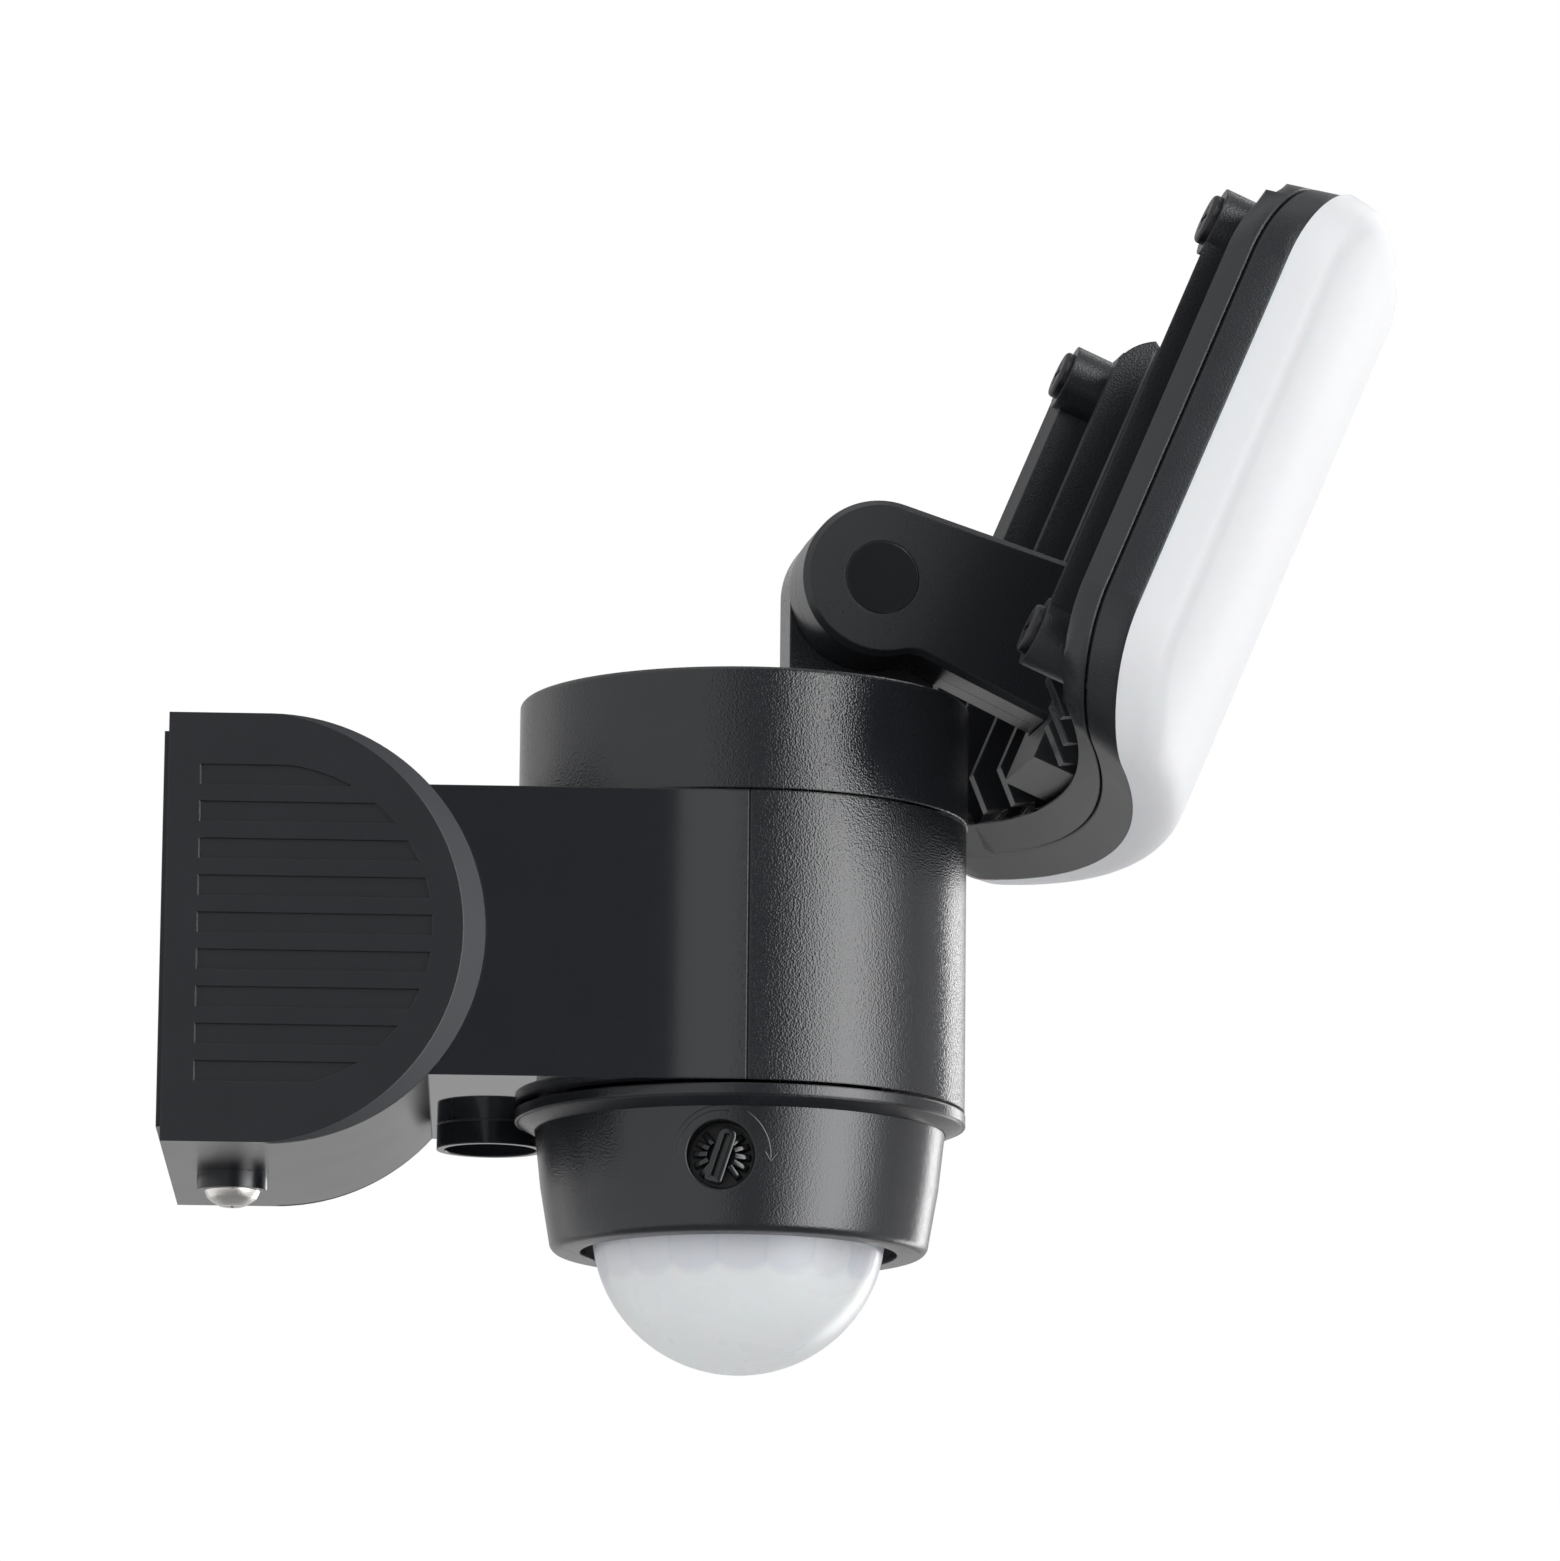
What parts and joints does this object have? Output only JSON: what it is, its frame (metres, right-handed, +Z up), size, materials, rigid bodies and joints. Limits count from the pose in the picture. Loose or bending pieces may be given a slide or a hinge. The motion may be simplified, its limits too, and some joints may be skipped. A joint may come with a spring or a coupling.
{
  "type": "solar security light",
  "caption": "Wall light with a swivelling, tilting opal lamp head on a drum-mounted round case and a turning dome motion sensor underneath with a timer knob.",
  "frame": {"origin": "centre of the flat wall face of the mounting plate", "axes": "+X points out of the wall, +Z up along the turning axes of the cap and the sensor, +Y along the wall away from the timer knob's side"},
  "size_m": [0.1773, 0.1338, 0.1673],
  "materials": {
    "gloss_shell": "smooth black moulding, semi-gloss",
    "grain_shell": "black moulding with a fine leather grain",
    "ribbed_shell": "black moulding, satin",
    "opal": "opal white diffuser, satin",
    "milky_lens": "milky lens film, soft gloss",
    "screw_steel": "bright plated steel",
    "dark_steel": "blackened steel",
    "seal_rubber": "soft black rubber",
    "slide_plastic": "natural low-friction plastic",
    "tray_white": "white gloss reflector",
    "circuit_board": "green board with parts",
    "led_white": "white metal-core board with yellow chips",
    "cell_sleeve": "shrink sleeve",
    "sensor_can": "nickel can",
    "dial_blue": "moulded case"
  },
  "bodies": {
    "base": {"wall_plate": "ribbed_shell", "bracket_cover": "ribbed_shell", "bracket_lock_screw": "screw_steel", "body_rear_shell": "gloss_shell", "body_front_shell": "grain_shell", "neck_screw_1": "screw_steel", "neck_screw_2": "screw_steel", "neck_screw_3": "screw_steel", "neck_screw_4": "screw_steel", "neck_clamp_plate": "ribbed_shell", "shell_screw_1": "screw_steel", "shell_screw_2": "screw_steel", "cable_socket": "ribbed_shell", "battery_cell_1": "cell_sleeve", "battery_cell_2": "cell_sleeve", "battery_cradle": "ribbed_shell", "control_board": "circuit_board"},
    "cap": {"swivel_cap": "grain_shell", "swivel_ring": "slide_plastic", "friction_disc": "slide_plastic", "hinge_bolt": "dark_steel", "spring_washer": "dark_steel", "hinge_nut": "dark_steel", "hinge_cover_far": "ribbed_shell"},
    "head": {"head_arm_near": "gloss_shell", "head_arm_far": "gloss_shell", "hinge_cover_near": "ribbed_shell", "head_rear_housing": "ribbed_shell", "head_gasket": "seal_rubber", "arm_screw_1": "screw_steel", "arm_screw_2": "screw_steel", "arm_screw_3": "screw_steel", "arm_screw_4": "screw_steel", "head_front_frame": "gloss_shell", "head_screw_1": "dark_steel", "head_screw_2": "dark_steel", "head_screw_3": "dark_steel", "head_screw_4": "dark_steel", "led_board": "led_white", "reflector_tray": "tray_white", "opal_cover": "opal"},
    "sensor": {"sensor_base": "gloss_shell", "sensor_cup": "ribbed_shell", "lens_dome": "milky_lens", "cup_screw_1": "screw_steel", "cup_screw_2": "screw_steel", "cup_screw_3": "screw_steel", "sensor_board": "circuit_board", "motion_sensor": "sensor_can", "timer_dial": "dial_blue"},
    "knob": {"timer_knob": "ribbed_shell"}
  },
  "joints": [
    {"name": "cap_pan", "type": "hinge", "parent": "base", "child": "cap", "pos_m": [0.083, 0, 0.0299], "axis": [0, 0, 1], "range_deg": [-73, 56]},
    {"name": "head_tilt", "type": "hinge", "parent": "cap", "child": "head", "pos_m": [0.102, 0.00284, 0.05808], "axis": [-0.1478, 0.989, 0], "range_deg": [-90, 10]},
    {"name": "sensor_turn", "type": "hinge", "parent": "base", "child": "sensor", "pos_m": [0.083, 0, -0.0218], "axis": [0, 0, 1], "range_deg": [-120, 120]},
    {"name": "timer_turn", "type": "hinge", "parent": "sensor", "child": "knob", "pos_m": [0.083, 0, -0.0308], "axis": [-0.1184, -0.993, 0], "range_deg": [-140, 140]}
  ]
}
